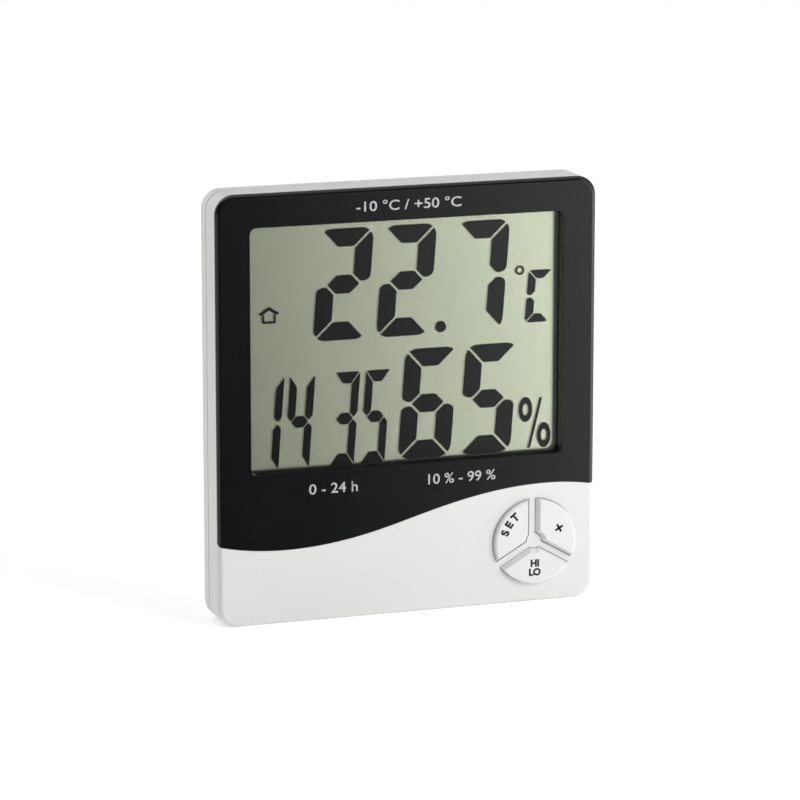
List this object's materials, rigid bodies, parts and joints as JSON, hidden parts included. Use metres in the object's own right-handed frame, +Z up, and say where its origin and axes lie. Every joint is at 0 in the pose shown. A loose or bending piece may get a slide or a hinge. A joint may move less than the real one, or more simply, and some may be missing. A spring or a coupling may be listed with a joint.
{
  "type": "thermometer hygrometer clock",
  "caption": "Flat table clock that shows temperature, humidity and time on a large segment display, with a round key group, a fold-out stand and a battery door at the back.",
  "frame": {"origin": "on the base, at mid-width and in the middle of the rim's depth", "axes": "+X to the right as the display is read, +Y to the back, +Z up; the display faces -Y"},
  "size_m": [0.099, 0.0221, 0.108],
  "materials": {
    "case_white": "fine moulded satin",
    "key_white": "smooth satin, printed legends",
    "bezel_black": "polished piano black",
    "lens_clear": "clear acrylic pane",
    "display_glass": "thin clear glass",
    "display_film": "grey-green reflecting film",
    "frame_grey": "moulded satin",
    "connector_rubber": "striped conductive rubber",
    "board_green": "solder mask over copper tracks",
    "chip_resin": "cured black resin",
    "screw_steel": "zinc-plated",
    "contact_nickel": "nickel-plated spring steel",
    "can_steel": "drawn can",
    "bead_black": "dipped bead on bare legs",
    "sensor_blue": "slotted cap",
    "buzzer_black": "moulded",
    "mat_rubber": "silicone rubber",
    "pill_carbon": "carbon-loaded rubber",
    "cell_sleeve": "printed sleeve over a metal can",
    "lead_red": "insulated wire",
    "lead_black": "insulated wire"
  },
  "bodies": {
    "case": {"front_shell": "case_white", "bezel": "bezel_black", "display_lens": "lens_clear", "lcd_front_glass": "display_glass", "lcd_rear_glass": "display_glass", "lcd_reflector": "display_film", "lcd_frame": "frame_grey", "zebra_strip": "connector_rubber", "circuit_board": "board_green", "controller_blob": "chip_resin", "clock_crystal": "can_steel", "thermistor": "bead_black", "humidity_sensor": "sensor_blue", "buzzer": "buzzer_black", "key_mat": "mat_rubber", "rear_shell": "case_white", "battery_cell": "cell_sleeve", "battery_plus_contact": "contact_nickel", "battery_minus_contact": "contact_nickel", "red_lead": "lead_red", "black_lead": "lead_black", "case_screws": "screw_steel", "board_screws": "screw_steel", "lcd_frame_screws": "screw_steel"},
    "left_key": {"left_key": "key_white", "left_key_pill": "pill_carbon"},
    "right_key": {"right_key": "key_white", "right_key_pill": "pill_carbon"},
    "bottom_key": {"bottom_key": "key_white", "bottom_key_pill": "pill_carbon"},
    "stand": {"stand": "case_white"},
    "battery_door": {"battery_door": "case_white"}
  },
  "joints": [
    {"name": "left_key_press", "type": "slide", "parent": "case", "child": "left_key", "axis": [0, 1, 0], "range_m": [0, 0.0008], "stiffness_N_per_m": 1900},
    {"name": "right_key_press", "type": "slide", "parent": "case", "child": "right_key", "axis": [0, 1, 0], "range_m": [0, 0.0008], "stiffness_N_per_m": 1900},
    {"name": "bottom_key_press", "type": "slide", "parent": "case", "child": "bottom_key", "axis": [0, 1, 0], "range_m": [0, 0.0008], "stiffness_N_per_m": 1900},
    {"name": "stand_hinge", "type": "hinge", "parent": "case", "child": "stand", "pos_m": [0, 0.01243, 0.061], "axis": [1, 0, 0], "range_deg": [0, 38]},
    {"name": "battery_door_hinge", "type": "hinge", "parent": "case", "child": "battery_door", "pos_m": [0, 0.01413, 0.08375], "axis": [1, 0, 0], "range_deg": [0, 80]}
  ]
}
